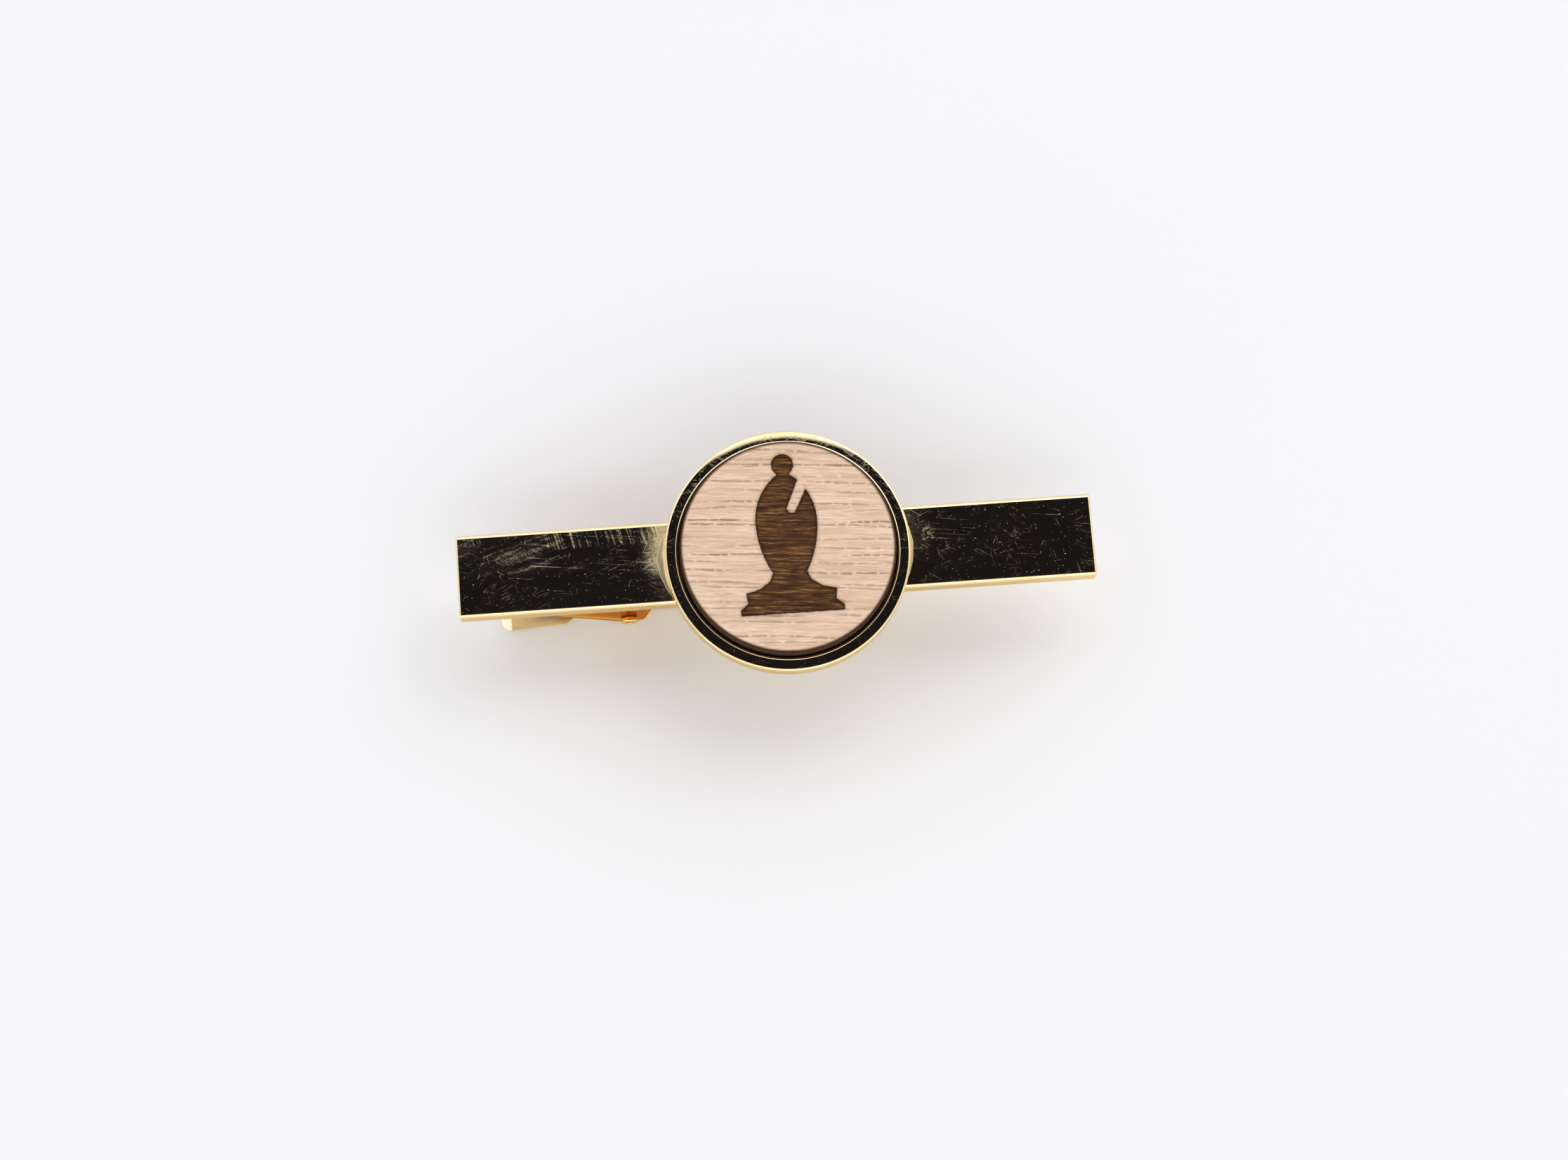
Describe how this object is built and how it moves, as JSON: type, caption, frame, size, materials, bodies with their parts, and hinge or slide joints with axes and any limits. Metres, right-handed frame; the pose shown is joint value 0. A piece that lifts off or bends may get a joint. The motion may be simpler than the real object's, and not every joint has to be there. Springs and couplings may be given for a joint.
{
  "type": "tie clip",
  "caption": "Gold-plated tie clip: flat polished bar, round bezel with an engraved wood disc, and a sprung alligator clip with a thumb tab behind.",
  "frame": {"origin": "middle of the bar in plan, at the height of the closed clip's lowest point", "axes": "+X along the bar from the thumb tab towards the jaw, +Z out of the bar's face"},
  "size_m": [0.0468, 0.018, 0.0104],
  "materials": {
    "polished_gold": "mirror-polished gold plate over brass, with fine scratches",
    "stamped_gold": "bright gold plate over stamped sheet",
    "solder_gold": "plated solder, slightly hazy",
    "spring_steel": "drawn wire",
    "oak": "bare laser-cut and laser-engraved oak",
    "glue": "clear set glue"
  },
  "bodies": {
    "bar": {"face_bar": "polished_gold", "bezel_solder": "solder_gold", "bezel_cup": "polished_gold", "disc_glue": "glue", "wood_disc": "oak", "clip_solder": "solder_gold", "clip_base": "stamped_gold", "hinge_pin": "stamped_gold", "torsion_spring": "spring_steel"},
    "lever": {"clip_lever": "stamped_gold"}
  },
  "joints": [
    {"name": "lever_hinge", "type": "hinge", "parent": "bar", "child": "lever", "pos_m": [-0.01115, 0, 0.0016], "axis": [0, 1, 0], "range_deg": [0, 26], "stiffness_Nm_per_rad": 0.02, "springref_deg": -68.75, "deforming": ["torsion_spring"]}
  ]
}
